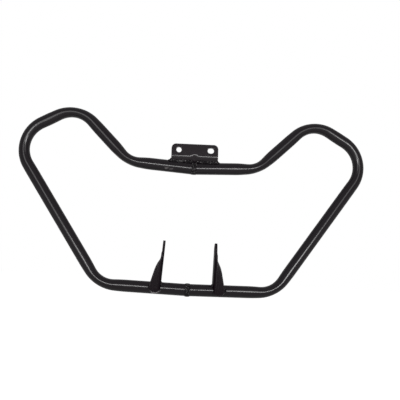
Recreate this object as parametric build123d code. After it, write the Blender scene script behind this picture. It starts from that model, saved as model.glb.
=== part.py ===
from build123d import *
from math import atan2, cos, pi, radians, sin, sqrt, tan
import os

# A motorcycle crash guard: two half loops of round steel tube, bent on one die and butt welded at the
# middle above and below, with a folded top plate and two folded tabs that bolt it to the frame.
# Millimetres, +X to the right as the guard is seen from ahead of the machine, +Y to the rear, +Z up.
# The origin is midway between the top plate's two holes, on its rear face, which meets the frame.

# Tube and bends
tube_od = 25.4
tube_wall = 2.0
die_radius = 63.5
wing_sweep = 4.0
loop_height = 255.5

# Corners of the right half's centre line: how far out from the middle, and how far above the seam there
inner_out = 138.0
inner_rise = 8.5
top_out = 254.0
top_rise = 122.5
outer_out = 390.5
outer_rise = 48.5
lower_out = 185.5
lower_rise = 3.0

# How far each bend is squeezed in the plane of the loop, as a share of the tube's width
inner_squeeze = 0.20
top_squeeze = 0.16
outer_squeeze = 0.09
lower_squeeze = 0.14
squeeze_spread = 0.6
squeeze_lead = 25.0
skin_step = 16.0
bore_step = 24.0

# Top plate: a flange with the two holes, folded back to the crown of the tube
plate_width = 99.0
plate_thickness = 4.0
plate_corner = 9.5
plate_fold_radius = 8.0
plate_fold_angle = 40.0
hole_to_top = 13.0
hole_to_fold = 11.8
fold_above_tube = 13.4
hole_to_end = 15.8
hole_diameter = 11.0
slot_length = 13.5
plate_turn = 1.2

# Dart pressed into the fold over the seam
dart_rise = 4.0
dart_spread = 70.0

# Lower tabs: an upright web with a bolt hole, and a tapered flange that laps over the front of the tube
left_tab_out = 55.4
right_tab_out = 52.4
tab_height = 100.0
tab_thickness = 5.0
tab_fold_radius = 3.0
tab_tip_width = 25.0
tab_tip_back = 8.0
tab_hole_diameter = 11.0
web_back = 15.0
web_foot = 4.0
flange_top = 64.0
flange_middle = 36.0
flange_middle_width = 17.5
flange_toe_radius = 12.5
flange_toe_rise = 3.0
left_tab_lean = 3.0
right_tab_lean = -1.0

# Weld beads and the gap that they close
fit_up_gap = 0.2
butt_bead_width = 11.0
butt_bead_height = 1.6
plate_bead = 5.0
left_end_bead = 7.0
right_end_bead = 5.0
tab_bead = 3.5
toe_bead = 2.8
toe_bead_slope = 1.8
bead_foot = 4.0
ring_sides = 24
collar_sides = 16

tube_radius = tube_od / 2
hole_pitch = plate_width - 2 * hole_to_end
tab_gap = left_tab_out + right_tab_out
middle = Plane.YZ

# Top plate's section: the middle of its leg runs into the tube's crown, which places the seams
fold_turn = radians(plate_fold_angle)
fold_middle_radius = plate_fold_radius + plate_thickness / 2
fold_reach = fold_middle_radius * tan(fold_turn / 2)
leg_drop = fold_above_tube - fold_middle_radius * sin(fold_turn)
seam_y = fold_middle_radius * (1 - cos(fold_turn)) + leg_drop * tan(fold_turn) - plate_thickness / 2
upper_z = -(hole_to_fold + fold_above_tube + tube_radius)
lower_z = upper_z - loop_height

# The plane of the right wing: its X runs out along the wing, its Y up, and its normal forward
sweep_turn = radians(wing_sweep)
wing = Plane(
    origin=(0, seam_y, 0),
    x_dir=(cos(sweep_turn), sin(sweep_turn), 0),
    z_dir=(sin(sweep_turn), -cos(sweep_turn), 0),
)
corners = [
    Vector(0, upper_z, 0),
    Vector(inner_out, upper_z + inner_rise, 0),
    Vector(top_out, upper_z + top_rise, 0),
    Vector(outer_out, upper_z + outer_rise, 0),
    Vector(lower_out, lower_z + lower_rise, 0),
    Vector(0, lower_z, 0),
]
squeezes = [inner_squeeze, top_squeeze, outer_squeeze, lower_squeeze]


class Bend:
    """One bend of the centre line, drawn in the plane of the wing."""

    def __init__(self, before, corner, after):
        self.heading = (corner - before).normalized()
        self.leaving = (after - corner).normalized()
        turn = radians(self.heading.get_signed_angle(self.leaving, Vector(0, 0, 1)))
        self.turn = abs(turn)
        self.length = die_radius * self.turn
        reach = die_radius * tan(self.turn / 2)
        self.start = corner - self.heading * reach
        self.end = corner + self.leaving * reach
        across = Vector(-self.heading.Y, self.heading.X, 0)
        self.inward = across if turn > 0 else -across
        self.centre = self.start + self.inward * die_radius

    def at(self, distance):
        """Point and heading at a distance past the start of the bend, straight on either side of it."""
        if distance < 0:
            return self.start + self.heading * distance, self.heading
        if distance > self.length:
            return self.end + self.leaving * (distance - self.length), self.leaving
        angle = distance / die_radius
        point = self.centre + (self.heading * sin(angle) - self.inward * cos(angle)) * die_radius
        return point, self.heading * cos(angle) + self.inward * sin(angle)

    def peaks(self):
        """Distances at which the tube is level or upright, where the loop reaches furthest."""
        level = atan2(self.heading.Y, -self.inward.Y) % pi
        upright = atan2(self.heading.X, -self.inward.X) % pi
        return [angle * die_radius for angle in (level, upright) if angle < self.turn]

    def stations(self, step, *stops):
        """Distances at which the section is drawn, evenly spaced between the bend's ends and any stops."""
        ends = [0, *stops, self.length]
        distances = [0]
        for start, end in zip(ends, ends[1:]):
            count = round((end - start) / die_radius / radians(step))
            distances += [start + (end - start) * (i + 1) / count for i in range(count)]
        return distances

    def squeezed(self, distance):
        """Share of the bend's squeeze at a distance: none at the ends of the leads, all in the middle."""
        half = self.length / 2 + squeeze_lead
        return cos(pi / 2 * (distance - self.length / 2) / half) ** 2


bends = [Bend(corners[i - 1], corners[i], corners[i + 1]) for i in range(1, 5)]
upper_run = bends[0].heading
lower_run = -bends[3].leaving


def square_to(point, heading):
    """Plane square to the tube at a point of the wing, with its X along the wing's normal."""
    origin = wing.from_local_coords(point)
    ahead = wing.from_local_coords(point + heading) - origin
    return Plane(origin=origin, x_dir=wing.z_dir, z_dir=ahead)


def oval(bend, squeeze, distance, inset):
    """The tube's section at a distance along a bend: its skin, or its bore where inset by the wall."""
    depth = squeeze * bend.squeezed(distance)
    across = tube_radius * (1 + squeeze_spread * depth) - inset
    in_plane = tube_radius * (1 - depth) - inset
    return square_to(*bend.at(distance)) * Ellipse(across, in_plane)


def bent_skin():
    """The bends and the runs between them, round again where a squeeze has room to run out."""
    sections = []
    for i, (bend, squeeze) in enumerate(zip(bends, squeezes)):
        distances = bend.stations(skin_step, *bend.peaks())
        if i == 0 or (bend.start - bends[i - 1].end).length > 2 * squeeze_lead:
            distances = [-squeeze_lead] + distances
        if i == 3 or (bends[i + 1].start - bend.end).length > 2 * squeeze_lead:
            distances = distances + [bend.length + squeeze_lead]
        sections += [oval(bend, squeeze, distance, 0) for distance in distances]
    return loft(sections, ruled=True)


def bent_bore():
    """The bore of the same stretch, which eases from one bend's oval straight to the next."""
    first, last = bends[0], bends[-1]
    sections = [oval(first, squeezes[0], -squeeze_lead, tube_wall)]
    for bend, squeeze in zip(bends, squeezes):
        sections += [oval(bend, squeeze, distance, tube_wall) for distance in bend.stations(bore_step)]
    sections.append(oval(last, squeezes[-1], last.length + squeeze_lead, tube_wall))
    return loft(sections, ruled=True)


def straight_body(start, end, inset):
    plane = square_to(start, (end - start).normalized())
    return extrude(plane * Circle(tube_radius - inset), amount=(end - start).length)


def half_loop():
    """The right half loop, hollow from seam to seam and mitred at both."""
    tube = bent_skin() - bent_bore()
    reach = 2 * (outer_out + loop_height)
    right_side = Pos(reach / 2, 0, lower_z) * Box(reach, reach, 2 * reach)
    upper_end = bends[0].at(-squeeze_lead)[0]
    lower_end = bends[3].at(bends[3].length + squeeze_lead)[0]
    for seam, run, end in ((corners[0], upper_run, upper_end), (corners[5], lower_run, lower_end)):
        start = seam - run * tube_od
        tube += (straight_body(start, end, 0) - straight_body(start, end, tube_wall)) & right_side
    return tube


def rods(seam_z, run, radius):
    """Many-sided rods around the straight tubes beside a seam, to cut plates and beads to the tubes."""
    plane = square_to(Vector(0, seam_z, 0), run).offset(-tube_od)
    right = extrude(plane * RegularPolygon(radius, ring_sides, major_radius=False), amount=tab_gap)
    right &= Pos(tab_gap, 0, seam_z) * Box(2 * tab_gap, 4 * tube_od, 4 * tube_od)
    return right + mirror(right, about=middle)


def axis_point(seam_z, run, x):
    """Point of the right tube's centre line at a distance from the middle."""
    along = x / (run.X * cos(sweep_turn))
    return wing.from_local_coords(Vector(0, seam_z, 0) + run * along)


def biggest(shape):
    return max(shape.solids(), key=lambda solid: solid.volume)


def collar(plane, radius, sides, depth, slope):
    """Many-sided collar, sloped round the edge of its far face."""
    body = extrude(plane * RegularPolygon(radius, sides), amount=depth)
    far = Pos(*(plane.origin + plane.z_dir * depth))
    near = fit_up_gap
    rim = [edge for edge in body.edges() if (far.position - edge.center()).dot(plane.z_dir) < near]
    return chamfer(rim, slope)


def butt_bead(seam_z, cutter):
    """Band of weld around a seam, proud of both tubes and sloped at its edges."""
    radius = (tube_radius + butt_bead_height) / cos(pi / ring_sides)
    seam = Plane(origin=(0, seam_y, seam_z), x_dir=(0, 1, 0), z_dir=(1, 0, 0))
    half = collar(seam, radius, ring_sides, butt_bead_width / 2, butt_bead_height)
    return half + mirror(half, about=middle) - cutter


def trimmed(body, *neighbours):
    """A bead cut back to the pieces and beads that it meets."""
    for neighbour in neighbours:
        body -= neighbour
    return biggest(body)


def straight_bead(start, finish, radius):
    along = (finish - start).normalized()
    plane = Plane(origin=start, x_dir=(0, 1, 0), z_dir=along)
    return extrude(plane * RegularPolygon(radius, 8, rotation=22.5), amount=(finish - start).length)


def leg_seat(x, face_radius):
    """Where a face of the plate's leg meets the upper tube; the face's radius in the fold names it."""
    start = Vector(
        x,
        plate_fold_radius - face_radius * cos(fold_turn),
        -hole_to_fold - face_radius * sin(fold_turn),
    )
    start = start.rotate(Axis.Y, -plate_turn)
    centre = axis_point(upper_z, upper_run, abs(start.X))
    down = Vector(0, sin(fold_turn), -cos(fold_turn))
    gap = Vector(0, start.Y - centre.Y, start.Z - centre.Z)
    half = gap.dot(down)
    return start + down * (-half - sqrt(half**2 - gap.dot(gap) + tube_radius**2))


def dart(behind):
    """Wedge that presses the dart into the fold, down a valley from the flange to the foot of the leg."""
    high = Vector(0, -plate_thickness, dart_rise - hole_to_fold)
    low = leg_seat(0, plate_fold_radius + plate_thickness)
    down = (low - high).normalized()
    ahead = down.cross(Vector(1, 0, 0))
    spread = plate_width * tan(radians(dart_spread))
    opening = make_face(Polyline((0, 0), (spread, plate_width), (-spread, plate_width), close=True))
    valley = Plane(origin=high - ahead * behind, x_dir=(1, 0, 0), z_dir=down)
    return extrude(valley * opening, amount=plate_width, both=True)


def top_plate(cutter):
    """Folded plate: flange, fold, and a leg that is scribed to the tubes, with a dart over the seam."""
    face_y = -plate_thickness / 2
    top = (face_y, hole_to_top)
    corner = (face_y, -hole_to_fold - fold_reach)
    leg = fold_reach + (leg_drop + tube_radius / 2) / cos(fold_turn)
    foot = (corner[0] + leg * sin(fold_turn), corner[1] - leg * cos(fold_turn))
    line = FilletPolyline(top, corner, foot, radius=fold_middle_radius)
    plate = extrude(Plane.YZ * trace(line, plate_thickness), amount=plate_width / 2, both=True)

    inside = make_face(Plane.YZ * Polyline(top, corner, foot, close=True))
    rib = dart(plate_thickness / sin(radians(dart_spread))) & extrude(inside, amount=plate_width, both=True)
    plate = plate + rib - dart(0)

    height = 2 * (hole_to_top - upper_z)
    outline = Pos(0, hole_to_top - height / 2) * Rectangle(plate_width, height)
    outline = fillet(outline.vertices().group_by(Axis.Y)[-1], plate_corner)
    outline -= Pos(-hole_pitch / 2, 0) * Circle(hole_diameter / 2)
    outline -= Pos(hole_pitch / 2, 0) * SlotOverall(slot_length, hole_diameter)
    plate &= extrude(Plane.XZ * outline, amount=plate_width, both=True)
    plate = plate.rotate(Axis.Y, -plate_turn)

    seam_relief = Cylinder(tube_radius + butt_bead_height + fit_up_gap, butt_bead_width + 2 * fit_up_gap)
    plate -= Pos(0, seam_y, upper_z) * Rot(0, 90, 0) * seam_relief
    return biggest(plate - cutter)


def plate_welds(plate, tubes, ring):
    """Beads along the front and the rear of the plate's leg and round its two ends."""
    front_face = plate_fold_radius + plate_thickness
    rear_face = plate_fold_radius
    solids = {}
    for side, outward, end_bead in (("left", -1, left_end_bead), ("right", 1, right_end_bead)):
        start = outward * butt_bead_width / 2
        end = outward * plate_width / 2
        meets = [plate, tubes, ring]
        bodies = {
            "front": straight_bead(leg_seat(start, front_face), leg_seat(end, front_face), plate_bead),
            "rear": straight_bead(leg_seat(start, rear_face), leg_seat(end, rear_face), plate_bead),
            "end": straight_bead(leg_seat(end, front_face), leg_seat(end, rear_face), end_bead),
        }
        for place, body in bodies.items():
            weld = trimmed(body, *meets)
            meets.append(weld)
            solids[f"{side}_plate_{place}_weld"] = weld
    return solids


def flange_outline():
    """Front of a tab: X outward from the web's inner face, Y up from the tube's centre line."""
    toe = CenterArc((flange_toe_radius, flange_toe_rise), flange_toe_radius, 180, 180)
    edge = Line(toe @ 1, (flange_middle_width, flange_middle))
    shoulder = TangentArc(edge @ 1, (tab_thickness, flange_top), tangent=edge % 1)
    rest = Polyline(
        shoulder @ 1,
        (tab_thickness, tab_height),
        (-tab_thickness, tab_height),
        (-tab_thickness, flange_toe_rise),
        toe @ 0,
    )
    return make_face([toe, edge, shoulder, rest])


def web_outline(front):
    """Side of a tab: X to the rear and Y up from the tube's centre line, round at the tip."""
    tip_radius = tab_tip_width / 2
    tip = Pos(tab_tip_back, tab_height - tip_radius) * Circle(tip_radius)
    base = Polyline((-front, -tube_radius), (-front, flange_top), (web_back, web_foot), close=True)
    return make_hull(tip.edges() + base.edges())


class Tab:
    """A tab right of the middle and what its welds follow, leaning towards the middle by an angle."""

    def __init__(self, inner, lean, clearance, skin):
        self.inner = inner
        self.foot = axis_point(lower_z, lower_run, self.inner)
        self.front = tube_radius + fit_up_gap + tab_thickness
        self.skin = skin
        self.body = self.folded_sheet(lean, clearance)

    def on_front(self, out, up, ahead):
        """Point given by its distance out from the web's inner face, above the tube and ahead of it."""
        along = (self.inner - self.front * sin(sweep_turn)) / cos(sweep_turn) + out
        rise = self.foot.Z + lower_run.Y * out + up
        return wing.from_local_coords((along, rise, ahead))

    def folded_sheet(self, lean, clearance):
        flange_line = self.front - tab_thickness / 2
        corner = self.on_front(tab_thickness / 2, 0, flange_line)
        corner = Vector(self.inner + tab_thickness / 2, corner.Y, 0)
        outer = corner + wing.x_dir * (4 * flange_toe_radius)
        rear = Vector(corner.X, self.foot.Y + 2 * web_back, 0)
        line = FilletPolyline(rear, corner, outer, radius=tab_fold_radius + tab_thickness / 2)
        sheet = extrude(Pos(0, 0, self.foot.Z) * trace(line, tab_thickness), amount=tab_height, both=True)

        front_plane = Plane(origin=self.foot, x_dir=(1, 0, 0), z_dir=(0, -1, 0))
        sheet &= extrude(front_plane * flange_outline(), amount=tab_height, both=True)
        side_plane = Plane(origin=self.foot, x_dir=(0, 1, 0), z_dir=(1, 0, 0))
        sheet &= extrude(side_plane * web_outline(self.front + tab_thickness), amount=tab_height, both=True)

        hole_place = self.foot + Vector(0, tab_tip_back, tab_height - tab_tip_width / 2)
        hole = Rot(0, 90, 0) * Cylinder(tab_hole_diameter / 2, 4 * tab_thickness)
        sheet -= Pos(*hole_place) * hole

        hinge = Axis(self.foot, (0, 1, 0))
        return biggest(sheet.rotate(hinge, -lean) - clearance)

    def around_bead(self, side):
        """Bead around the tube at a face of the web: side is -1 for the inner face, 1 for the outer."""
        depth = tab_thickness / 2
        centre = axis_point(lower_z, lower_run, self.inner + depth)
        plane = Plane(origin=centre, x_dir=(0, 1, 0), z_dir=(side, 0, 0))
        body = collar(plane, tube_radius + tab_bead, collar_sides, depth + tab_bead, tab_bead - fit_up_gap)
        above = Pos(centre.X, centre.Y, centre.Z + bead_foot + tube_od)
        return body & above * Box(tube_od, 4 * tube_od, 2 * tube_od)

    def toe_bead(self):
        """Bead around the toe of the flange, from its edge down to the front of the tube."""
        depth = tube_radius + fit_up_gap + tab_thickness / 2
        toe = self.on_front(flange_toe_radius, flange_toe_rise, 0)
        plane = Plane(origin=toe, x_dir=wing.x_dir, z_dir=wing.z_dir)
        body = collar(plane, flange_toe_radius + toe_bead, collar_sides, depth, toe_bead_slope)
        below = Pos(plane.origin.X, plane.origin.Y, self.foot.Z + bead_foot - tube_od)
        return body & below * Box(4 * tube_od, 4 * tube_od, 2 * tube_od)

    def back_bead(self):
        """Bead behind the flange, in the groove between it and the crown of the tube."""
        up = ahead = tube_radius * 0.8
        start = self.on_front(tab_thickness + tab_bead, up, ahead)
        return straight_bead(start, self.on_front(2 * flange_toe_radius, up, ahead), tab_bead)

    def welds(self):
        solids = {}
        meets = [self.body, self.skin]
        bodies = {
            "toe": self.toe_bead(),
            "inner": self.around_bead(-1),
            "outer": self.around_bead(1),
            "back": self.back_bead(),
        }
        for name, body in bodies.items():
            solids[name] = trimmed(body, *meets)
            meets.append(solids[name])
        return solids


def main():
    nodes = {}
    right = half_loop()
    nodes["right_tube"] = right
    nodes["left_tube"] = mirror(right, about=middle)

    upper_skin = rods(upper_z, upper_run, tube_radius)
    lower_skin = rods(lower_z, lower_run, tube_radius)
    nodes["upper_butt_weld"] = butt_bead(upper_z, upper_skin)
    nodes["lower_butt_weld"] = butt_bead(lower_z, lower_skin)

    plate = top_plate(rods(upper_z, upper_run, tube_radius + fit_up_gap))
    nodes["top_plate"] = plate
    nodes.update(plate_welds(plate, upper_skin, nodes["upper_butt_weld"]))

    tab_clearance = rods(lower_z, lower_run, tube_radius + fit_up_gap)
    for side, inner, lean in (
        ("right", right_tab_out, right_tab_lean),
        ("left", left_tab_out, left_tab_lean),
    ):
        tab = Tab(inner, lean, tab_clearance, lower_skin)
        pieces = {f"{side}_tab": tab.body}
        pieces.update({f"{side}_tab_{place}_weld": weld for place, weld in tab.welds().items()})
        for name, piece in pieces.items():
            nodes[name] = piece if side == "right" else mirror(piece, about=middle)

    os.makedirs("parts", exist_ok=True)
    for name, shape in nodes.items():
        export_step(shape, f"parts/{name}.step")


main()
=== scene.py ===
from math import acos, asin, atan2, ceil, cos, degrees, exp, pi, radians, sin, sqrt, tan
import bmesh
import bpy
from mathutils import Matrix, Vector
from mathutils.geometry import delaunay_2d_cdt


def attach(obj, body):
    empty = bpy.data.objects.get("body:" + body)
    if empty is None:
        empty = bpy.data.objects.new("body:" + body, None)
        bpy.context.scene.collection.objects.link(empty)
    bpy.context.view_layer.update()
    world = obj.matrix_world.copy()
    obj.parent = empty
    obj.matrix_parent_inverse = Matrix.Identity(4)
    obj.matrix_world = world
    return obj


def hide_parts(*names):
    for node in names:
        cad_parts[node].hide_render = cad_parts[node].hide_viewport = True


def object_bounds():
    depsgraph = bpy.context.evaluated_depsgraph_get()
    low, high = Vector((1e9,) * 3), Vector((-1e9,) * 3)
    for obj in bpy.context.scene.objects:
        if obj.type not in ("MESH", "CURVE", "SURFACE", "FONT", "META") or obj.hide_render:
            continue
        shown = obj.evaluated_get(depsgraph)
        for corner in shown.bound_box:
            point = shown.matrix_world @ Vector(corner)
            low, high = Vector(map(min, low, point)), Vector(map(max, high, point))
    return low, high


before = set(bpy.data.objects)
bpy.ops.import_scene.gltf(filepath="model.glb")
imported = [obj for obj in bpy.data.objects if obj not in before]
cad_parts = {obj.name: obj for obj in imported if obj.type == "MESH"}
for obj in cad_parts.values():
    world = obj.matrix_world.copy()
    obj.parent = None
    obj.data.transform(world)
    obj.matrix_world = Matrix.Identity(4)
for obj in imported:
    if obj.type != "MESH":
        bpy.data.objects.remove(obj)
cad_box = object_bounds()

# Sizes in metres, as in the part's source. Only the dart is smaller here, as the photograph shows it.
mm = 0.001

# Tube and bends
tube_radius = 12.7 * mm
die_radius = 63.5 * mm
wing_sweep = radians(4)
loop_height = 255.5 * mm
corner_outs = [0, 138 * mm, 254 * mm, 390.5 * mm, 185.5 * mm, 0]
corner_rises = [0, 8.5 * mm, 122.5 * mm, 48.5 * mm, 3 * mm, 0]
squeezes = [0.20, 0.16, 0.09, 0.14]
squeeze_spread = 0.6
squeeze_lead = 25 * mm
tube_sides = 72
run_step = 4 * mm
bend_step = radians(2.5)

# Top plate
plate_half = 49.5 * mm
plate_thickness = 4 * mm
plate_corner = 9.5 * mm
fold_radius = 8 * mm
fold_turn = radians(40)
plate_turn = radians(1.2)
hole_to_top = 13 * mm
hole_to_fold = 11.8 * mm
fold_above_tube = 13.4 * mm
hole_out = 33.7 * mm
hole_radius = 5.5 * mm
slot_stretch = 1.25 * mm
dart_rise = 1.5 * mm
dart_half_width = 4.5 * mm

# Lower tabs
tab_inners = {"left": 55.4 * mm, "right": 52.4 * mm}
leans = {"left": radians(3), "right": radians(-1)}
tab_thickness = 5 * mm
tab_fold_radius = 3 * mm
tab_tip_up = 87.5 * mm
tab_tip_back = 8 * mm
tab_tip_radius = 12.5 * mm
tab_hole_radius = 5.5 * mm
web_back = 15 * mm
web_foot = 4 * mm
flange_top = 64 * mm
flange_middle = 36 * mm
flange_middle_width = 17.5 * mm
toe_radius = 12.5 * mm
toe_rise = 3 * mm
fit_up_gap = 0.2 * mm

# Weld beads
bead_sides = 36
bead_step = 0.7 * mm
bead_taper = 2.5 * mm
ripple_pitch = 2.6 * mm
plate_bead_width = 4.4 * mm
web_bead_width = 2.5 * mm
back_bead_width = 3.2 * mm
toe_bead_width = 2.8 * mm
toe_bead_flares = {"left": 2.8 * mm, "right": 4.6 * mm}

# Roots of the beads lie this deep in the tube, and the tube is this much thinner than the solid, to
# stay inside its box
root_depth = 0.1 * mm
tube_inset = 0.05 * mm

# Places that follow from the sizes, as in the part's source
fold_middle = fold_radius + plate_thickness / 2
leg_drop = fold_above_tube - fold_middle * sin(fold_turn)
seam_y = fold_middle * (1 - cos(fold_turn)) + leg_drop * tan(fold_turn) - plate_thickness / 2
upper_z = -(hole_to_fold + fold_above_tube + tube_radius)
lower_z = upper_z - loop_height
seam_heights = [upper_z] * 4 + [lower_z] * 2
corners = [Vector((out, seam + rise)) for out, seam, rise in zip(corner_outs, seam_heights, corner_rises)]
upper_run = (corners[1] - corners[0]).normalized()
lower_run = (corners[4] - corners[5]).normalized()
wing_out = Vector((cos(wing_sweep), sin(wing_sweep), 0))
wing_ahead = Vector((sin(wing_sweep), -cos(wing_sweep), 0))
up = Vector((0, 0, 1))


def wing_point(out, height, ahead=0.0):
    """A point of the right wing: how far out along it, how high, and how far in front of its plane."""
    return Vector((0, seam_y, height)) + wing_out * out + wing_ahead * ahead


def mirrored(vector, side):
    return Vector((-vector.x, vector.y, vector.z)) if side == "left" else vector.copy()


def axis_point(seam_z, run, x):
    """Point of the straight tube's centre line beside a seam, right of the middle by x."""
    out = x / cos(wing_sweep)
    return wing_point(out, seam_z + run.y / run.x * out)


class Signal:
    """A socket of a node tree. Arithmetic on it adds Math nodes, and node() adds any other node."""

    def __init__(self, tree, socket=None):
        self.tree = tree
        self.socket = socket

    def node(self, kind, settings=None, inputs=None, output=0):
        """Add a node: its settings come first, then the values or links of its sockets."""
        node = self.tree.nodes.new(kind)
        for name, value in (settings or {}).items():
            setattr(node, name, value)
        for name, value in (inputs or {}).items():
            if isinstance(value, Signal):
                self.tree.links.new(value.socket, node.inputs[name])
            else:
                node.inputs[name].default_value = value
        return Signal(self.tree, node.outputs[output])

    def maths(self, operation, *values):
        return self.node("ShaderNodeMath", {"operation": operation}, dict(enumerate(values)))

    def vector(self, operation, *values, output=0):
        return self.node("ShaderNodeVectorMath", {"operation": operation}, dict(enumerate(values)), output)

    def scaled(self, factor):
        return self.node("ShaderNodeVectorMath", {"operation": "SCALE"}, {0: self, "Scale": factor})

    def clipped(self):
        return self.node("ShaderNodeMath", {"operation": "ADD", "use_clamp": True}, {0: self, 1: 0.0})

    def __add__(self, other):
        return self.maths("ADD", self, other)

    __radd__ = __add__

    def __sub__(self, other):
        return self.maths("SUBTRACT", self, other)

    def __rsub__(self, other):
        return self.maths("SUBTRACT", other, self)

    def __mul__(self, other):
        return self.maths("MULTIPLY", self, other)

    __rmul__ = __mul__

    def __truediv__(self, other):
        return self.maths("DIVIDE", self, other)

    def __rtruediv__(self, other):
        return self.maths("DIVIDE", other, self)


def blend(factor, first, second):
    """A colour between two colours."""
    colours = {0: factor, 6: (*first, 1) if isinstance(first, tuple) else first, 7: (*second, 1)}
    return factor.node("ShaderNodeMix", {"data_type": "RGBA"}, colours, output=2)


def noise(place, size, detail=2.0, roughness=0.5, seed=0.0, stretch=(1, 1, 1)):
    """Noise with features of about a size in metres, from 0 to 1, stretched along the axes."""
    spot = place.node("ShaderNodeMapping", None, {"Vector": place, "Location": (seed, seed, seed),
                                                  "Scale": tuple(1 / share for share in stretch)})
    values = {"Vector": spot, "Scale": 0.5 / size, "Detail": detail, "Roughness": roughness}
    return place.node("ShaderNodeTexNoise", None, values, "Fac")


def above(signal, edge, softness):
    """From 0 to 1 as a signal passes an edge."""
    return ((signal - edge) / softness + 0.5).clipped()


def patch(place, centre, reach):
    """From 1 at a spot down to 0 at its reach, given as half sizes along X, Y and Z."""
    away = place.vector("SUBTRACT", place, centre)
    away = away.vector("DIVIDE", away, reach)
    return (1 - away.vector("LENGTH", away, output="Value")).clipped()


def bump(height, depth, strength=1.0):
    """A normal from a height that runs from 0 to 1 and stands for a depth in metres."""
    return height.node("ShaderNodeBump", None, {"Strength": strength, "Distance": depth, "Height": height})


def paint(name, finish, fixed):
    """A painted metal: finish gives what varies over the surface, and fixed what doesn't."""
    material = bpy.data.materials.new(name)
    material.use_nodes = True
    tree = material.node_tree
    shader = tree.nodes["Principled BSDF"]
    for socket, value in fixed.items():
        shader.inputs[socket].default_value = value
    place = Signal(tree).node("ShaderNodeTexCoord", output="Object")
    for socket, signal in finish(place).items():
        tree.links.new(signal.socket, shader.inputs[socket])
    return material


# Marks, each by its middle and its half sizes: scuffs of handling on the left part of the upper tube,
# nicks, and the pale spots at the left tab's toe, which are painted highlights on the weld there
scuffs = [
    ((-47 * mm, -4 * mm, -43.2 * mm), (8 * mm, 8 * mm, 3 * mm)),
    ((-60 * mm, -3 * mm, -41.2 * mm), (10 * mm, 8 * mm, 3.5 * mm)),
]
nicks = [
    ((-55 * mm, -2 * mm, -46.7 * mm), (2.2 * mm, 3 * mm, 1.2 * mm)),
    ((63 * mm, 7 * mm, -21.5 * mm), (1.2 * mm, 3 * mm, 1 * mm)),
]
# Where pale spots are painted on the left toe's weld as highlights
toe_highlight_patch = ((-68 * mm, -5 * mm, -300 * mm), (12 * mm, 14 * mm, 8 * mm))

# The top plate lies above this height and the tabs below it
between_brackets = -150 * mm


def gloss_black(place):
    """Sprayed gloss black: a faint orange peel, a little dust, and the scuffs and nicks of handling."""
    drift = noise(place, 60 * mm, seed=3.1)
    peel = noise(place, 1.6 * mm, detail=1.0, seed=7.7)
    dust = above(noise(place, 0.9 * mm, detail=0.0, seed=1.3), 0.72, 0.05)
    worn = above(noise(place, 1.3 * mm, detail=4.0, roughness=0.7, seed=5.0, stretch=(3, 1, 1)), 0.52, 0.1)
    scuffed = sum(patch(place, centre, reach) for centre, reach in scuffs) * worn * 0.8
    nicked = above(sum(patch(place, centre, reach) for centre, reach in nicks), 0.35, 0.2)
    marked = (scuffed + nicked).clipped()
    colour = blend(drift, (0.0016, 0.0003, 0.0015), (0.0028, 0.0011, 0.0026))
    colour = blend(dust * 0.12, colour, (0.03, 0.027, 0.03))
    colour = blend(marked, colour, (0.16, 0.15, 0.15))
    return {
        "Base Color": colour,
        "Roughness": 0.4 + drift * 0.1 + marked * 0.25,
        "Normal": bump(peel + marked * 0.5, 0.02 * mm, 0.1),
    }


def rim_wear(place, seed):
    """Where the paint has thinned along the edges of a cut sheet."""
    rim = place.node("ShaderNodeAttribute", {"attribute_name": "rim"}, output="Fac")
    return (rim * above(noise(place, 2.5 * mm, detail=3.0, seed=seed), 0.47, 0.25)).clipped()


def bracket_black(place):
    """Thinner satin black on the plate and the tabs, with soft runs down it and pale edges."""
    drift = noise(place, 30 * mm, seed=2.2)
    runs = noise(place, 4 * mm, detail=2.0, seed=9.4, stretch=(1, 1, 9))
    grain = noise(place, 0.8 * mm, detail=3.0, roughness=0.6, seed=4.2)
    wear = rim_wear(place, 6.5)
    dust = above(noise(place, 1.1 * mm, detail=1.0, seed=8.8), 0.68, 0.08)
    colour = blend(runs * 0.7 + drift * 0.3, (0.0024, 0.0006, 0.0018), (0.0048, 0.0022, 0.0040))
    colour = blend(wear * 0.12 + dust * 0.08, colour, (0.10, 0.095, 0.10))
    height = place.node("ShaderNodeSeparateXYZ", None, {"Vector": place}, "Z")
    on_plate = above(height, between_brackets, 50 * mm)
    return {
        "Base Color": colour,
        "Roughness": 0.4 + runs * 0.1 + grain * 0.05,
        "Coat Weight": 0.12 + on_plate * 0.3 - wear * 0.05,
        "Normal": bump(grain * 0.6 + runs * 0.4, 0.03 * mm, 0.06),
    }


def weld_black(place):
    """Black over weld metal: duller in the ripples, with pale specks of spatter and pale spots at the left
    tab's toe that are painted highlights.
    """
    lumps = noise(place, 3 * mm, detail=4.0, roughness=0.6, seed=1.9)
    grain = noise(place, 0.5 * mm, detail=2.0, roughness=0.6, seed=3.3)
    specks = above(noise(place, 0.8 * mm, detail=0.0, seed=6.1), 0.70, 0.04)
    # Pale spots at the left tab's toe: painted highlights on the weld there, not the weld's own colour
    painted_toe_highlights = above(noise(place, 1.8 * mm, detail=1.0, seed=2.7), 0.5, 0.12)
    painted_toe_highlights = painted_toe_highlights * (patch(place, *toe_highlight_patch) * 2).clipped()
    colour = blend(lumps, (0.002, 0.0015, 0.002), (0.007, 0.006, 0.007))
    colour = blend(specks * 0.5, colour, (0.25, 0.24, 0.24))
    colour = blend(painted_toe_highlights, colour, (0.34, 0.32, 0.33))
    return {
        "Base Color": colour,
        "Roughness": 0.48 - specks * 0.2 + lumps * 0.12,
        "Normal": bump(grain * 0.5 + lumps + specks * 0.6, 0.2 * mm, 0.15),
    }


tube_paint = paint("gloss_black_tube_paint", gloss_black, {
    "Specular IOR Level": 0.0, "Coat Weight": 0.37, "Coat Roughness": 0.16,
})
bracket_paint = paint("satin_black_bracket_paint", bracket_black, {
    "Specular IOR Level": 0.0, "Coat Roughness": 0.13,
})
weld_paint = paint("black_over_weld", weld_black, {"Specular IOR Level": 0.05})


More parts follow.
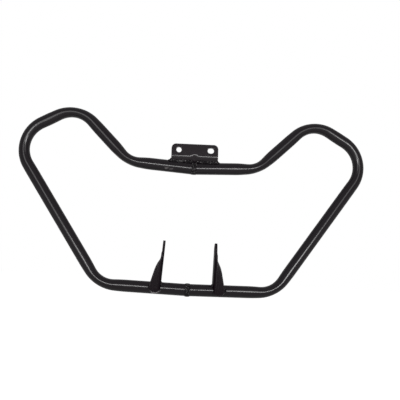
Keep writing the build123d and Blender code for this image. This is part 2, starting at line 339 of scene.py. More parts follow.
def new_tree(name, inputs):
    """A geometry tree with named inputs, and a Signal for each of them."""
    tree = bpy.data.node_groups.new(name, "GeometryNodeTree")
    tree.interface.new_socket("Geometry", in_out="INPUT", socket_type="NodeSocketGeometry")
    for label, kind in inputs.items():
        tree.interface.new_socket(label, in_out="INPUT", socket_type=kind)
    tree.interface.new_socket("Geometry", in_out="OUTPUT", socket_type="NodeSocketGeometry")
    entry = tree.nodes.new("NodeGroupInput")
    return tree, {socket.name: Signal(tree, socket) for socket in entry.outputs if socket.name}


def finish_tree(shape, material):
    """End a tree: real geometry, smooth, in its paint."""
    shape = shape.node("GeometryNodeRealizeInstances", None, {"Geometry": shape})
    shape = shape.node("GeometryNodeSetShadeSmooth", None, {"Geometry": shape})
    shape = shape.node("GeometryNodeSetMaterial", None, {"Geometry": shape, "Material": material})
    end = shape.tree.nodes.new("NodeGroupOutput")
    shape.tree.links.new(shape.socket, end.inputs[0])


def stored(signal, name, kind="FLOAT_VECTOR"):
    return signal.node("GeometryNodeInputNamedAttribute", {"data_type": kind}, {"Name": name})


def bent_tube_tree():
    """Tube along a centre line: squeezed oval where the line says so, and cut along X at the seams."""
    tree, given = new_tree("bent tube", {
        "Tube radius": "NodeSocketFloat", "Sides": "NodeSocketInt", "Spread": "NodeSocketFloat",
        "Wing ahead": "NodeSocketVector", "Paint": "NodeSocketMaterial",
    })
    line = given["Geometry"].node("GeometryNodeMeshToCurve", None, {"Mesh": given["Geometry"]})
    circle = line.node("GeometryNodeCurvePrimitiveCircle", None,
                       {"Resolution": given["Sides"], "Radius": given["Tube radius"]})
    tube = line.node("GeometryNodeCurveToMesh", None,
                     {"Curve": line, "Profile Curve": circle, "Fill Caps": True})
    root = stored(tube, "root")
    heading = stored(tube, "heading")
    squeeze = stored(tube, "squeeze", "FLOAT")
    seam = stored(tube, "seam", "FLOAT")
    offset = tube.node("GeometryNodeInputPosition")
    offset = offset.vector("SUBTRACT", offset, root)
    ahead = given["Wing ahead"]
    across = ahead.scaled(offset.vector("DOT_PRODUCT", offset, ahead, output="Value"))
    in_plane = offset.vector("SUBTRACT", offset, across)
    across = across.scaled(1 + squeeze * given["Spread"])
    place = root.vector("ADD", root, across.vector("ADD", across, in_plane.scaled(1 - squeeze)))
    off_seam = place.node("ShaderNodeSeparateXYZ", None, {"Vector": place})
    lean = heading.node("ShaderNodeSeparateXYZ", None, {"Vector": heading})
    place = place.vector("SUBTRACT", place, heading.scaled(off_seam / lean * seam))
    tube = tube.node("GeometryNodeSetPosition", None, {"Geometry": tube, "Position": place})
    finish_tree(tube, given["Paint"])
    return tree


def weld_bead_tree():
    """Bead along a root line. At each point the line says how far the bead reaches along one piece
    (reach) and up the other (rise). The side behind the root is buried."""
    tree, given = new_tree("weld bead", {
        "Sides": "NodeSocketInt", "Hollow": "NodeSocketFloat", "Behind": "NodeSocketFloat",
        "Buried": "NodeSocketFloat", "Ripple pitch": "NodeSocketFloat", "Ripple depth": "NodeSocketFloat",
        "Lump size": "NodeSocketFloat", "Lump depth": "NodeSocketFloat", "Seed": "NodeSocketFloat",
        "Paint": "NodeSocketMaterial",
    })
    line = given["Geometry"].node("GeometryNodeMeshToCurve", None, {"Mesh": given["Geometry"]})
    circle = line.node("GeometryNodeCurvePrimitiveCircle", None,
                       {"Resolution": given["Sides"], "Radius": 1 * mm})
    share = line.node("GeometryNodeSplineParameter", output="Factor")
    circle = line.node("GeometryNodeStoreNamedAttribute", {"data_type": "FLOAT", "domain": "POINT"},
                       {"Geometry": circle, "Name": "turn", "Value": share})
    bead = line.node("GeometryNodeCurveToMesh", None,
                     {"Curve": line, "Profile Curve": circle, "Fill Caps": True})
    turn = stored(bead, "turn", "FLOAT") * (2 * pi)
    root = stored(bead, "root")
    reach = stored(bead, "reach")
    rise = stored(bead, "rise")
    along = stored(bead, "along", "FLOAT")
    outward = turn.maths("COSINE", turn)
    upward = turn.maths("SINE", turn)
    waist = (turn * 2).maths("SINE", turn * 2)
    waist = 1 - waist * waist * given["Hollow"]
    shown = outward.maths("MAXIMUM", outward, 0.0) + outward.maths("MINIMUM", outward, 0.0) * given["Behind"]
    raised = upward.maths("MAXIMUM", upward, 0.0) + upward.maths("MINIMUM", upward, 0.0) * given["Buried"]
    offset = reach.vector("ADD", reach.scaled(shown * waist), rise.scaled(raised * waist))
    crest = (along / given["Ripple pitch"] + outward * outward * 0.35) * (2 * pi)
    ripple = crest.maths("SINE", crest) * given["Ripple depth"]
    spot = root.vector("ADD", root, offset)
    values = {"Vector": spot, "W": given["Seed"], "Scale": 0.5 / given["Lump size"], "Detail": 3.0}
    lumps = spot.node("ShaderNodeTexNoise", {"noise_dimensions": "4D"}, values, "Fac")
    growth = ripple + (lumps - 0.5) * given["Lump depth"] * 2
    swell = offset.vector("NORMALIZE", offset).scaled(growth)
    place = spot.vector("ADD", spot, swell)
    bead = bead.node("GeometryNodeSetPosition", None, {"Geometry": bead, "Position": place})
    finish_tree(bead, given["Paint"])
    return tree


trees = {"tube": bent_tube_tree(), "bead": weld_bead_tree()}


def path_mesh(name, points, attributes, closed=False):
    """A line through points, with named values at each of them."""
    mesh = bpy.data.meshes.new(name)
    count = len(points)
    edges = [(i, i + 1) for i in range(count - 1)] + ([(count - 1, 0)] if closed else [])
    mesh.from_pydata(points, edges, [])
    for label, values in attributes.items():
        vectors = isinstance(values[0], Vector)
        kind = "FLOAT_VECTOR" if vectors else "FLOAT"
        attribute = mesh.attributes.new(label, kind, "POINT")
        flat = [part for vector in values for part in vector] if vectors else values
        attribute.data.foreach_set("vector" if vectors else "value", flat)
    return mesh


def grown(name, line, tree, values):
    """Run a tree along a line, and keep the result as a plain mesh."""
    source = bpy.data.objects.new(name, line)
    bpy.context.scene.collection.objects.link(source)
    modifier = source.modifiers.new("grown", "NODES")
    modifier.node_group = tree
    for item in tree.interface.items_tree:
        if item.in_out == "INPUT" and item.name in values:
            modifier[item.identifier] = values[item.name]
    result = source.evaluated_get(bpy.context.evaluated_depsgraph_get())
    mesh = bpy.data.meshes.new_from_object(result)
    source.modifiers.remove(modifier)
    source.data = mesh
    bpy.data.meshes.remove(line)
    for label in [attribute.name for attribute in mesh.attributes]:
        if label in ("root", "heading", "squeeze", "seam", "reach", "rise", "along", "turn"):
            mesh.attributes.remove(mesh.attributes[label])
    return source


def point_outwards(mesh):
    work = bmesh.new()
    work.from_mesh(mesh)
    bmesh.ops.remove_doubles(work, verts=work.verts, dist=0.001 * mm)
    bmesh.ops.recalc_face_normals(work, faces=work.faces)
    work.to_mesh(mesh)
    work.free()


def fitted(piece, slot, *nodes):
    """Every piece here rides on the one body and stands for the CAD nodes that it follows."""
    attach(piece, "root")
    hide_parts(*nodes)


class Bend:
    """One bend of the centre line, drawn in the plane of the wing."""

    def __init__(self, before, corner, after):
        self.heading = (corner - before).normalized()
        self.leaving = (after - corner).normalized()
        turn = -self.heading.angle_signed(self.leaving)
        self.turn = abs(turn)
        self.length = die_radius * self.turn
        reach = die_radius * tan(self.turn / 2)
        self.start = corner - self.heading * reach
        self.end = corner + self.leaving * reach
        across = Vector((-self.heading.y, self.heading.x))
        self.inward = across if turn > 0 else -across
        self.centre = self.start + self.inward * die_radius

    def at(self, distance):
        angle = distance / die_radius
        point = self.centre + (self.heading * sin(angle) - self.inward * cos(angle)) * die_radius
        return point, self.heading * cos(angle) + self.inward * sin(angle)


bends = [Bend(corners[i - 1], corners[i], corners[i + 1]) for i in range(1, 5)]


def centre_line():
    """Points of the right half's centre line, with their headings and their distances from the seam."""
    points = []
    here = corners[0]
    travelled = 0.0
    middles = []
    for bend in bends + [None]:
        target = bend.start if bend else corners[5]
        run = (target - here).length
        heading = (target - here).normalized()
        count = ceil(run / run_step)
        for i in range(count):
            distance = run * i / count
            points.append((here + heading * distance, heading, travelled + distance))
        travelled += run
        if bend:
            middles.append(travelled + bend.length / 2)
            count = ceil(bend.turn / bend_step)
            for i in range(count):
                distance = bend.length * i / count
                points.append((*bend.at(distance), travelled + distance))
            travelled += bend.length
            here = bend.end
    points.append((corners[5], -lower_run, travelled))
    return points, middles


def squeeze_at(distance, middles):
    """How far the tube is squeezed at a distance from the upper seam."""
    total = 0.0
    for bend, middle, squeeze in zip(bends, middles, squeezes):
        half = bend.length / 2 + squeeze_lead
        away = abs(distance - middle)
        if away < half:
            total = max(total, squeeze * cos(pi / 2 * away / half) ** 2)
    return total


def bent_tube(side):
    """One half loop, from the upper seam to the lower one."""
    points, middles = centre_line()
    roots = [mirrored(wing_point(point.x, point.y), side) for point, heading, distance in points]
    headings = [mirrored(wing_out * heading.x + up * heading.y, side) for point, heading, distance in points]
    squeeze = [squeeze_at(distance, middles) for point, heading, distance in points]
    seam = [1.0] + [0.0] * (len(points) - 2) + [1.0]
    line = path_mesh(f"{side}_line", roots, {
        "root": roots, "heading": headings, "squeeze": squeeze, "seam": seam,
    })
    piece = grown(f"{side}_half_loop", line, trees["tube"], {
        "Tube radius": tube_radius - tube_inset, "Sides": tube_sides, "Spread": squeeze_spread,
        "Wing ahead": tuple(mirrored(wing_ahead, side)), "Paint": tube_paint,
    })
    # The caps at the seams stay flat
    for face in piece.data.polygons:
        face.use_smooth = len(face.vertices) == 4
    fitted(piece, "tube_paint", f"{side}_tube")


def filled_in(stations, step):
    """Stations of a bead, with more between them so that none are further apart than a step."""
    result = [stations[0]]
    for before, after in zip(stations, stations[1:]):
        crest = sum(after, Vector((0, 0, 0))) - sum(before, Vector((0, 0, 0)))
        count = max(1, ceil(crest.length / step))
        for i in range(1, count + 1):
            result.append(tuple(a.lerp(b, i / count) for a, b in zip(before, after)))
    return result


def tapered(distance):
    """The share of a bead's size that is there at a distance from its end, which is round."""
    return 0.25 + 0.75 * sqrt(1 - (1 - min(1.0, distance / bead_taper)) ** 2)


def bead(name, stations, nodes, seed, closed=False, hollow=0.28, behind=0.3, ripple=0.16 * mm,
         lumps=0.3 * mm):
    """A weld bead along stations of (root, reach, rise), which stands for the CAD beads named in nodes."""
    stations = filled_in(stations + stations[:1] if closed else stations, bead_step)
    if closed:
        stations = stations[:-1]
    crests = [root + reach / 2 + rise / 2 for root, reach, rise in stations]
    along = [0.0]
    for before, after in zip(crests, crests[1:]):
        along.append(along[-1] + (after - before).length)
    pitch = ripple_pitch
    ends = [1.0] * len(stations)
    if closed:
        whole = along[-1] + (stations[0][0] - stations[-1][0]).length
        pitch = whole / round(whole / pitch)
    else:
        ends = [tapered(min(at, along[-1] - at)) for at in along]
    roots = [root for root, reach, rise in stations]
    # Stations at one corner still need a length between them
    points = [root + (reach + rise) * 0.01 for root, reach, rise in stations]
    line = path_mesh(f"{name}_line", points, {
        "root": roots,
        "reach": [reach * share for (root, reach, rise), share in zip(stations, ends)],
        "rise": [rise * share for (root, reach, rise), share in zip(stations, ends)],
        "along": along,
    }, closed)
    piece = grown(name, line, trees["bead"], {
        "Sides": bead_sides, "Hollow": hollow, "Behind": behind, "Buried": 0.3, "Ripple pitch": pitch,
        "Ripple depth": ripple, "Lump size": 3.0 * mm, "Lump depth": lumps, "Seed": seed,
        "Paint": weld_paint,
    })
    point_outwards(piece.data)
    fitted(piece, "weld_paint", *nodes)


def seam_bead(name, seam_z, half_width, height, node, seed):
    """Band of weld round a seam."""
    stations = []
    for degree in range(0, 360, 3):
        radial = Vector((0, cos(radians(degree)), sin(radians(degree))))
        root = Vector((0, seam_y, seam_z)) + radial * (tube_radius - root_depth)
        stations.append((root, Vector((half_width, 0, 0)), radial * (height + root_depth)))
    bead(name, stations, [node], seed, closed=True, hollow=0.0, behind=1.0, ripple=0.02 * mm,
         lumps=0.06 * mm)


def turned(point, turn):
    """A point turned about Y, the right end up."""
    x = point.x * cos(turn) - point.z * sin(turn)
    z = point.x * sin(turn) + point.z * cos(turn)
    return Vector((x, point.y, z))


def leg_seat(x, face_radius):
    """Where a face of the plate's leg starts and where it meets the upper tube, before the plate is
    turned. The face's radius in the fold names it."""
    start_y = fold_radius - face_radius * cos(fold_turn)
    start_z = -hole_to_fold - face_radius * sin(fold_turn)
    start = Vector((x, start_y, start_z))
    centre = axis_point(upper_z, upper_run, abs(turned(start, plate_turn).x))
    centre = turned(mirrored(centre, "left" if x < 0 else "right"), -plate_turn)
    down = Vector((0, sin(fold_turn), -cos(fold_turn)))
    gap = Vector((0, start.y - centre.y, start.z - centre.z))
    half = gap.dot(down)
    return start, start + down * (-half - sqrt(half**2 - gap.dot(gap) + tube_radius**2))


# The dart's valley runs straight from the flange to the foot of the leg
valley_high = Vector((0, -plate_thickness, dart_rise - hole_to_fold))
valley_down = (leg_seat(0, fold_radius + plate_thickness)[1] - valley_high).normalized()
valley_ahead = valley_down.cross(Vector((1, 0, 0)))
if valley_ahead.y > 0:
    valley_ahead = -valley_ahead

# Flat patterns are filled with points on a grid, which keep clear of the edges
coarse = 2.2 * mm
grid_clearance = 0.45 * mm

# The plate's flat pattern. The leg's length in it is a round one, which folded() fits to the real leg.
flange_length = hole_to_top + hole_to_fold
fold_length = fold_middle * fold_turn
leg_length = 12 * mm
softening = 0.5 * mm


def folded(x, drop, out):
    """A point of the plate before the dart: its drop below the top edge, and out from the middle sheet."""
    radius = fold_middle + out
    if drop <= flange_length:
        return Vector((x, -plate_thickness / 2 - out, hole_to_top - drop))
    if drop <= flange_length + fold_length:
        angle = (drop - flange_length) / fold_middle
        return Vector((x, fold_radius - radius * cos(angle), -hole_to_fold - radius * sin(angle)))
    start, seat = leg_seat(x, radius)
    return start.lerp(seat, (drop - flange_length - fold_length) / leg_length)


def plate_point(x, drop, out):
    """A point of the folded plate, with the dart pressed into its fold."""
    proud = (folded(0, drop, plate_thickness / 2) - valley_high).dot(valley_ahead)
    proud = (proud + sqrt(proud**2 + softening**2)) / 2
    share = exp(-((sqrt(x**2 + softening**2) / dart_half_width) ** 1.3))
    return turned(folded(x, drop, out) - valley_ahead * proud * share, plate_turn)


def arc(centre, radius, start, end, count):
    """Points of an arc in a flat pattern, its angles in degrees."""
    angles = [radians(start + (end - start) * i / count) for i in range(count + 1)]
    return [Vector((centre[0] + radius * cos(angle), centre[1] + radius * sin(angle))) for angle in angles]


def spaced(loop, step):
    """A closed loop with points no further apart than a step."""
    result = []
    for here, after in zip(loop, loop[1:] + loop[:1]):
        count = max(1, ceil((after - here).length / step))
        result += [here.lerp(after, i / count) for i in range(count)]
    return result


def outward_normals(loop):
    """Normals of a closed loop that runs with its material on the left."""
    normals = []
    for before, after in zip(loop[-1:] + loop[:-1], loop[1:] + loop[:1]):
        along = (after - before).normalized()
        normals.append(Vector((along.y, -along.x)))
    return normals


def encloses(loop, point):
    inside = False
    for here, after in zip(loop, loop[1:] + loop[:1]):
        if (here.y > point.y) != (after.y > point.y):
            crossing = here.x + (point.y - here.y) / (after.y - here.y) * (after.x - here.x)
            inside ^= point.x < crossing
    return inside


def within(loops, point):
    """Whether a point lies inside the outline, which is the first loop, and outside the holes."""
    return encloses(loops[0], point) and not any(encloses(hole, point) for hole in loops[1:])


def filled(loops, grid):
    """Triangles over a flat pattern: their points, the triangles, and where each loop's points went."""
    around = [point for loop in loops for point in loop]
    grid = [point for point in grid
            if within(loops, point) and min((point - other).length for other in around) > grid_clearance]
    edges = []
    spans = []
    for loop in loops:
        first = len(edges)
        edges += [(first + i, first + (i + 1) % len(loop)) for i in range(len(loop))]
        spans.append(range(first, len(edges)))
    points, _, triangles, origins, _, _ = delaunay_2d_cdt(around + grid, edges, [], 0, 1e-7)
    index = {source: i for i, sources in enumerate(origins) for source in sources}
    kept = []
    for triangle in triangles:
        middle = sum((points[i] for i in triangle), Vector((0, 0))) / 3
        if within(loops, middle):
            kept.append(tuple(triangle))
    return points, kept, [[index[i] for i in span] for span in spans]


def sheet(name, outline, holes, columns, rows, place, thickness, edge):
    """A plate cut to a flat pattern, its edges rounded, and carried to where it belongs by place().
    The outline runs with its material on the left, and so do the holes."""
    half = thickness / 2
    loops = [spaced(outline, 1.2 * mm)] + [spaced(hole, 0.9 * mm) for hole in holes]
    normals = [outward_normals(loop) for loop in loops]
    inner = [[point - normal * edge for point, normal in zip(*pair)] for pair in zip(loops, normals)]
    flat, triangles, rims = filled(inner, [Vector((x, y)) for x in columns for y in rows])
    points = [place(point.x, point.y, half) for point in flat]
    points += [place(point.x, point.y, -half) for point in flat]
    behind = len(flat)
    faces = triangles + [tuple(i + behind for i in reversed(triangle)) for triangle in triangles]
    worn = [0.0] * len(points)

    # Rows of points round each edge: how far out from the inner loop, and how far from the middle sheet
    quarter = [(edge * sin(radians(turn)), half - edge + edge * cos(radians(turn))) for turn in (30, 60, 90)]
    rounding = quarter + [(out, -lift) for out, lift in reversed(quarter)]
    for loop, loop_normals, rim in zip(inner, normals, rims):
        rings = [rim]
        for out, lift in rounding:
            rings.append(range(len(points), len(points) + len(loop)))
            for point, normal in zip(loop, loop_normals):
                spot = point + normal * out
                points.append(place(spot.x, spot.y, lift))
                worn.append(1.0)
        rings.append([i + behind for i in rim])
        for upper, lower in zip(rings, rings[1:]):
            for i in range(len(loop)):
                after = (i + 1) % len(loop)
                faces.append((upper[i], lower[i], lower[after], upper[after]))
        for i in rings[0] + rings[-1]:
            worn[i] = 0.8

    mesh = bpy.data.meshes.new(name)
    mesh.from_pydata(points, [], faces)
    mesh.attributes.new("rim", "FLOAT", "POINT").data.foreach_set("value", worn)
    point_outwards(mesh)
    mesh.shade_smooth()
    mesh.materials.append(bracket_paint)
    piece = bpy.data.objects.new(name, mesh)
    bpy.context.scene.collection.objects.link(piece)
    return piece


def steps(start, end, step):
    """Even steps from a start to an end, none longer than a step."""
    count = max(1, ceil((end - start) / step))
    return [start + (end - start) * i / count for i in range(count + 1)]


def top_plate():
    """Folded top plate with its two holes and the dart over the seam."""
    foot = flange_length + fold_length + leg_length
    outline = [Vector((-plate_half, foot))]
    outline += arc((-plate_half + plate_corner, plate_corner), plate_corner, 180, 270, 12)
    outline += arc((plate_half - plate_corner, plate_corner), plate_corner, 270, 360, 12)
    outline += [Vector((plate_half, foot))]
    round_hole = arc((-hole_out, hole_to_top), hole_radius, 0, 360, 48)[:-1]
    slot = arc((hole_out + slot_stretch, hole_to_top), hole_radius, -90, 90, 24)
    slot += arc((hole_out - slot_stretch, hole_to_top), hole_radius, 90, 270, 24)
    holes = [round_hole[::-1], slot[::-1]]
    fine = 0.7 * mm
    columns = steps(-plate_half, -16 * mm, coarse) + steps(-15 * mm, 15 * mm, fine)
    columns += steps(16 * mm, plate_half, coarse)
    rows = steps(0, flange_length - 3 * mm, coarse) + steps(flange_length - 2 * mm, foot, fine)
    piece = sheet("top_plate_folded", outline, holes, columns, rows, plate_point, plate_thickness, 0.5 * mm)
    fitted(piece, "bracket_paint", "top_plate")


class Tab:
    """A lower tab on one side, in its flat pattern: along the middle sheet from the start of the bend,
    the web behind it and the flange ahead, and up from the tube's centre line."""

    def __init__(self, side):
        self.side = side
        self.inner = tab_inners[side]
        self.foot = axis_point(lower_z, lower_run, self.inner)
        self.front = tube_radius + fit_up_gap + tab_thickness
        self.radius = tab_fold_radius + tab_thickness / 2
        self.outer_radius = tab_fold_radius + tab_thickness
        self.turn = pi / 2 + wing_sweep
        self.bend_end = self.radius * self.turn
        corner = self.on_front(tab_thickness / 2, 0, self.front - tab_thickness / 2)
        self.bend_y = corner.y + self.radius * tan(self.turn / 2)
        self.web_zero = self.bend_y - self.foot.y

    def on_front(self, out, height, ahead):
        """A point by its distance out from the web's inner face, above the tube and ahead of it."""
        along = (self.inner - self.front * sin(wing_sweep)) / cos(wing_sweep) + out
        return wing_point(along, self.foot.z + lower_run.y * out + height, ahead)

    def point(self, along, height, out):
        """A point of the folded and leaning tab; out is towards the outside of its bend."""
        radius = self.radius + out
        turn = min(max(along / self.radius, 0), self.turn)
        x = self.outer_radius - radius * cos(turn)
        y = self.bend_y - radius * sin(turn)
        if along < 0:
            y -= along
        elif along > self.bend_end:
            x += (along - self.bend_end) * cos(wing_sweep)
            y += (along - self.bend_end) * sin(wing_sweep)
        lean = leans[self.side]
        leaned = Vector((x * cos(lean) - height * sin(lean), y, x * sin(lean) + height * cos(lean)))
        return mirrored(leaned + Vector((self.inner, 0, self.foot.z)), self.side)

    def along_at(self, out):
        """Where in the flat pattern the front of the tab is out from the web's inner face by a width."""
        end = self.outer_radius * (1 - cos(self.turn))
        if out > end:
            return self.bend_end + (out - end) / cos(wing_sweep)
        return self.radius * acos(1 - out / self.outer_radius)

    def outline(self):
        """The tab's flat pattern, from the toe up the flange, round the tip and down the web's back."""
        tip_along = self.web_zero - tab_tip_back
        toe = [Vector((toe_radius * (1 + cos(radians(angle))), toe_rise + toe_radius * sin(radians(angle))))
               for angle in range(184, 361, 8)]
        edge = [Vector((2 * toe_radius, toe_rise)), Vector((flange_middle_width, flange_middle))]
        shoulder_end = Vector((tab_thickness, flange_top))
        shoulder = tangent_arc(edge[1], (edge[1] - edge[0]).normalized(), shoulder_end, 16)
        front = [Vector((self.along_at(point.x), point.y)) for point in toe + shoulder]

        # The web's front edge leans back from the top of the flange to the round tip
        slope = self.tip_slope()
        top = []
        for degree in (58, 46, 34, 20, 8):
            back = self.web_zero - self.outer_radius * sin(radians(degree)) + self.front + tab_thickness
            top.append(Vector((self.radius * radians(degree), flange_top + back * tan(slope))))
        tip = arc((tip_along, tab_tip_up), tab_tip_radius, 90 - degrees(slope), 184, 30)

        # The web's foot runs inside the tube, out of sight
        buried = 2.4 * mm
        rear = [Vector((self.web_zero - web_back, web_foot)), Vector((self.web_zero - 12 * mm, buried)),
                Vector((-1 * mm, buried))]
        return front + top + tip + rear

    def tip_slope(self):
        """How steeply the straight front edge of the web climbs to touch the round tip."""
        run = self.front + tab_thickness + tab_tip_back
        rise = tab_tip_up - flange_top
        return atan2(rise, run) + asin(tab_tip_radius / sqrt(run**2 + rise**2))

    def folded(self):
        """The tab itself, its bolt hole in the round tip."""
        hole = arc((self.web_zero - tab_tip_back, tab_tip_up), tab_hole_radius, 360, 0, 44)[:-1]
        fine = 0.6 * mm
        columns = steps(-32 * mm, -1 * mm, coarse) + steps(-0.5 * mm, self.bend_end + 0.5 * mm, fine)
        columns += steps(self.bend_end + 1.5 * mm, self.bend_end + 17 * mm, coarse)
        rows = steps(-9 * mm, 100 * mm, coarse)
        piece = sheet(f"{self.side}_tab_folded", self.outline(), [hole], columns, rows, self.point,
                      tab_thickness, 0.6 * mm)
        fitted(piece, "bracket_paint", f"{self.side}_tab")

    def beads(self, seed):
        """The welds round the toe, at both faces of the web, and behind the flange."""
        toe = []
        for out, height, outward, reach in self.toe_edge():
            far = height + reach * outward.y
            depth = sqrt(max(tube_radius**2 - far**2, (3 * mm) ** 2)) - 0.5 * mm
            turn = acos(1 - min(out, self.outer_radius) / self.outer_radius)
            top = self.front - self.outer_radius * (1 - sin(turn)) - tab_thickness / 2
            rise = max(top - depth, 0.6 * mm)
            toe.append((self.on_front(out, height, depth), (wing_out * outward.x + up * outward.y) * reach,
                        wing_ahead * rise))
        inner = self.web_arc(0, -1, 18, 160)
        outer = self.web_arc(tab_thickness, 1, 18, 138)
        width = back_bead_width
        back = [(self.on_front(out, 9.6 * mm, 10.2 * mm), -wing_ahead * width, up * width)
                for out in (8 * mm, 21 * mm)]
        for name, stations, settings in (
            ("toe", toe, {"hollow": 0.12, "ripple": 0.25 * mm, "lumps": 0.45 * mm}),
            ("inner", inner, {"hollow": 0.25}),
            ("outer", outer, {"hollow": 0.25}),
            ("back", back, {"hollow": 0.0, "behind": 1.0}),
        ):
            stations = [tuple(mirrored(part, self.side) for part in station) for station in stations]
            seed += 1.7
            bead(f"{self.side}_{name}_bead", stations, [f"{self.side}_tab_{name}_weld"], seed, **settings)

    def toe_edge(self):
        """Round the flange's toe: how far out and up, which way is outward, and the bead's width."""
        flare = toe_bead_flares[self.side]
        narrowing = (2 * toe_radius - flange_middle_width) / (flange_middle - toe_rise)
        places = []
        for height in (9 * mm, 7 * mm, 5 * mm, toe_rise):
            places.append((2 * toe_radius - (height - toe_rise) * narrowing, height, Vector((1, 0)), flare))
        for angle in range(-10, -171, -10):
            outward = Vector((cos(radians(angle)), sin(radians(angle))))
            reach = toe_bead_width + (flare - toe_bead_width) * max(0, outward.x)
            places.append((toe_radius * (1 + outward.x), toe_rise + toe_radius * outward.y, outward, reach))
        return places

    def web_arc(self, across, side, start, end):
        """Round the tube at a face of the web, from behind it to the front."""
        centre = axis_point(lower_z, lower_run, self.inner + across)
        stations = []
        for degree in range(start, end + 1, 4):
            radial = Vector((0, cos(radians(degree)), sin(radians(degree))))
            root = centre + radial * (tube_radius - root_depth)
            stations.append((root, Vector((side * web_bead_width, 0, 0)), radial * web_bead_width))
        return stations


def tangent_arc(start, heading, end, count):
    """Arc from a start, where it runs along a heading, to an end."""
    chord = end - start
    turn = -2 * heading.angle_signed(chord)
    radius = chord.length / (2 * sin(turn / 2))
    left = Vector((-heading.y, heading.x))
    points = []
    for i in range(count + 1):
        angle = turn * i / count
        points.append(start + heading * radius * sin(angle) + left * radius * (1 - cos(angle)))
    return points


def plate_bead(side, end_reach, end_rise, seed):
    """One run of weld along the front of the plate's leg, round its end and back along its rear."""
    width = plate_bead_width
    up_leg = Vector((0, -sin(fold_turn), cos(fold_turn)))
    outward = mirrored(Vector((upper_run.x, 0, upper_run.y)), side)

    def seat(x, face_radius, forward):
        """The bead's root, and the way along the tube's skin from the leg."""
        root = turned(leg_seat(-x if side == "left" else x, face_radius)[1], plate_turn)
        radial = root - mirrored(axis_point(upper_z, upper_run, abs(root.x)), side)
        return root, Vector((0, -radial.z, radial.y)).normalized() * forward

    front = []
    rear = []
    for run, face_radius, forward in ((front, fold_radius + plate_thickness, 1), (rear, fold_radius, -1)):
        for x in (2 * mm, plate_half - 3 * mm):
            root, tangent = seat(x, face_radius, forward)
            run.append((root, tangent * width, up_leg * width))
        root, tangent = seat(plate_half, face_radius, forward)
        run.append((root, (tangent * width + outward * end_reach) * 0.74, up_leg * (width + end_rise) / 2))
        run.append((root, outward * end_reach, up_leg * end_rise))
    stations = front + rear[::-1]
    nodes = [f"{side}_plate_{place}_weld" for place in ("front", "end", "rear")]
    bead(f"{side}_plate_bead", stations, nodes, seed, hollow=0.38, ripple=0.2 * mm, lumps=0.35 * mm)


for side in ("left", "right"):
    bent_tube(side)
seam_bead("upper_seam_bead", upper_z, 5.3 * mm, 0.3 * mm, "upper_butt_weld", 1.0)
seam_bead("lower_seam_bead", lower_z, 5.4 * mm, 1.3 * mm, "lower_butt_weld", 5.0)
top_plate()
plate_bead("left", 6.3 * mm, 6.3 * mm, 11.0)
plate_bead("right", 4.5 * mm, 5 * mm, 13.0)
for side, seed in (("left", 20.0), ("right", 30.0)):
    tab = Tab(side)
    tab.folded()
    tab.beads(seed)


def stage_material(name, colour, glow):
    """Plain white that the camera and reflections see as white, and that still takes the shadow."""
    material = bpy.data.materials.new(name)
    material.use_nodes = True
    tree = material.node_tree
    shader = tree.nodes["Principled BSDF"]
    shader.inputs["Base Color"].default_value = (colour, colour, colour, 1)
    shader.inputs["Roughness"].default_value = 0.9
    shader.inputs["Specular IOR Level"].default_value = 0.0
    shader.inputs["Emission Strength"].default_value = 1.0
    seen = seen_rays(Signal(tree))
    tree.links.new(blend(seen, (0, 0, 0), (glow, glow, glow)).socket, shader.inputs["Emission Color"])
    return material


def seen_rays(signal):
    """1 for rays from the camera and for reflections."""
    camera_ray = signal.node("ShaderNodeLightPath", output="Is Camera Ray")
    paths = camera_ray.socket.node.outputs
    glossy = Signal(signal.tree, paths["Is Glossy Ray"])
    through = Signal(signal.tree, paths["Is Transmission Ray"])
    return (camera_ray + glossy + through).clipped()


def floor():
    """A wide floor just under the guard."""
    lowest = cad_box[0][2]
    half = 6.0
    sides = ((-half, -half), (half, -half), (half, half), (-half, half))
    mesh = bpy.data.meshes.new("floor")
    mesh.from_pydata([(x, y, lowest) for x, y in sides], [], [(0, 1, 2, 3)])
    mesh.materials.append(stage_material("white_floor", 0.8, 0.85))
    piece = bpy.data.objects.new("floor", mesh)
    bpy.context.scene.collection.objects.link(piece)


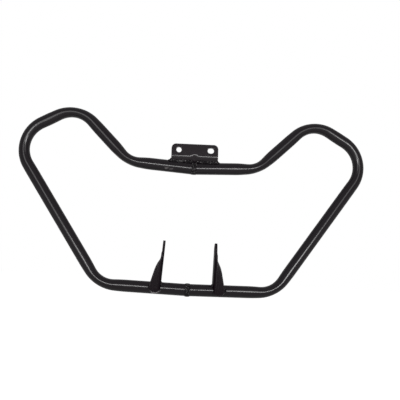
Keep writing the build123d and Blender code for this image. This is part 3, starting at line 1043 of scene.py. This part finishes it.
def white_world(ambient):
    """White all round for the camera and for reflections, and a dimmer light on the guard."""
    world = bpy.data.worlds.new("white_studio")
    bpy.context.scene.world = world
    world.use_nodes = True
    background = world.node_tree.nodes["Background"]
    background.inputs["Color"].default_value = (1, 1, 1, 1)
    strength = ambient + seen_rays(Signal(world.node_tree)) * (1 - ambient)
    world.node_tree.links.new(strength.socket, background.inputs["Strength"])


# The lamps: where each stands, its width and height, and its power in watts. They face the guard's middle.
lamps = {
    "left_strip": ((-0.28, -1.6, -0.05), 0.35, 0.2, 8),
    "middle_strip": ((0.1, -1.6, -0.02), 0.22, 0.15, 3.6),
    "right_strip": ((0.52, -1.6, -0.05), 0.45, 0.2, 11.2),
    "left_box": ((-0.65, -1.6, 0.1), 0.5, 0.8, 7.2),
    "right_box": ((0.75, -1.6, 0.15), 0.5, 0.8, 5.6),
}
guard_middle = Vector((0, 0, -0.16))


def softbox(name, place, width, height, power):
    light = bpy.data.lights.new(name, "AREA")
    light.shape = "RECTANGLE"
    light.size = width
    light.size_y = height
    light.energy = power
    lamp = bpy.data.objects.new(name, light)
    lamp.location = place
    lamp.rotation_euler = (guard_middle - Vector(place)).to_track_quat("-Z", "Y").to_euler()
    bpy.context.scene.collection.objects.link(lamp)


def photo_camera():
    """The photograph's camera: 1.5 m in front of the lower seam, turned, tilted up and rolled a little."""
    yaw, pitch, roll = 0.0649278, -0.1073279, 0.0532907
    stand = Vector((26.8287 * mm, -1500 * mm, 187.4028 * mm))
    focal_pixels = 720.7435
    picture_pixels = 400
    view = Matrix.Rotation(roll, 3, "Y") @ Matrix.Rotation(pitch, 3, "X") @ Matrix.Rotation(yaw, 3, "Z")
    to_world = view.transposed()
    data = bpy.data.cameras.new("camera")
    data.sensor_width = 36
    data.lens = data.sensor_width * focal_pixels / picture_pixels
    data.clip_end = 100
    camera = bpy.data.objects.new("camera", data)
    camera.location = to_world @ stand + Vector((0, seam_y, lower_z))
    camera.rotation_euler = (to_world @ Matrix.Rotation(radians(90), 3, "X")).to_euler()
    bpy.context.scene.collection.objects.link(camera)
    bpy.context.scene.camera = camera


floor()
white_world(0.2)
for name, (place, width, height, power) in lamps.items():
    softbox(name, place, width, height, power)
photo_camera()
bpy.context.scene.view_settings.view_transform = "Standard"
